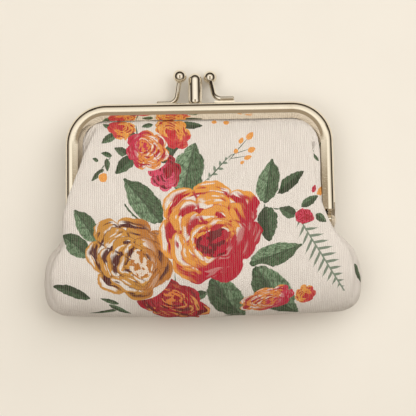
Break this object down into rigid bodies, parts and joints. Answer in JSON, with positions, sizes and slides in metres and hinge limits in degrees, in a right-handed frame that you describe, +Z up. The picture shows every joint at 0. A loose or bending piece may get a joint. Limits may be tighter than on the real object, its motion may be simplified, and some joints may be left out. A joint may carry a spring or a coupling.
{
  "type": "coin purse",
  "caption": "Small printed canvas coin purse with a hinged polished metal frame, two pockets and a kiss-lock clasp.",
  "frame": {"origin": "bottom centre of the bounding box, on the surface the purse lies on", "axes": "+X to the purse's right, +Y from the pouch's bottom to the clasp, +Z up out of the front face"},
  "size_m": [0.1002, 0.0792, 0.0241],
  "materials": {
    "frame_metal": "polished pale champagne nickel plate",
    "clasp_metal": "polished pale champagne nickel plate",
    "rivet_metal": "plain nickel plate",
    "printed_canvas": "off-white ribbed cotton canvas with a floral print",
    "lining_cloth": "plain ecru cotton",
    "paper_cord": "twisted paper cord with dried glue"
  },
  "bodies": {
    "pouch_and_centre_frame": {"centre_frame": "frame_metal", "locking_post": "clasp_metal", "centre_channel_cord": "paper_cord", "pocket_divider": "lining_cloth", "right_hinge_rivet": "rivet_metal", "left_hinge_rivet": "rivet_metal", "front_pouch": "printed_canvas", "back_pouch": "printed_canvas", "front_pouch_lining": "lining_cloth", "back_pouch_lining": "lining_cloth"},
    "front_flap": {"front_frame": "frame_metal", "front_clasp_wire": "clasp_metal", "front_clasp_ball": "clasp_metal", "front_channel_cord": "paper_cord", "front_panel": "printed_canvas", "front_panel_lining": "lining_cloth"},
    "back_flap": {"back_frame": "frame_metal", "back_clasp_wire": "clasp_metal", "back_clasp_ball": "clasp_metal", "back_channel_cord": "paper_cord", "back_panel": "printed_canvas", "back_panel_lining": "lining_cloth"}
  },
  "joints": [
    {"name": "front_opening", "type": "hinge", "parent": "pouch_and_centre_frame", "child": "front_flap", "pos_m": [0, -0.00979, 0.0116], "axis": [1, 0, 0], "range_deg": [0, 45]},
    {"name": "back_opening", "type": "hinge", "parent": "pouch_and_centre_frame", "child": "back_flap", "pos_m": [0, -0.00979, 0.0116], "axis": [-1, 0, 0], "range_deg": [0, 45]}
  ]
}
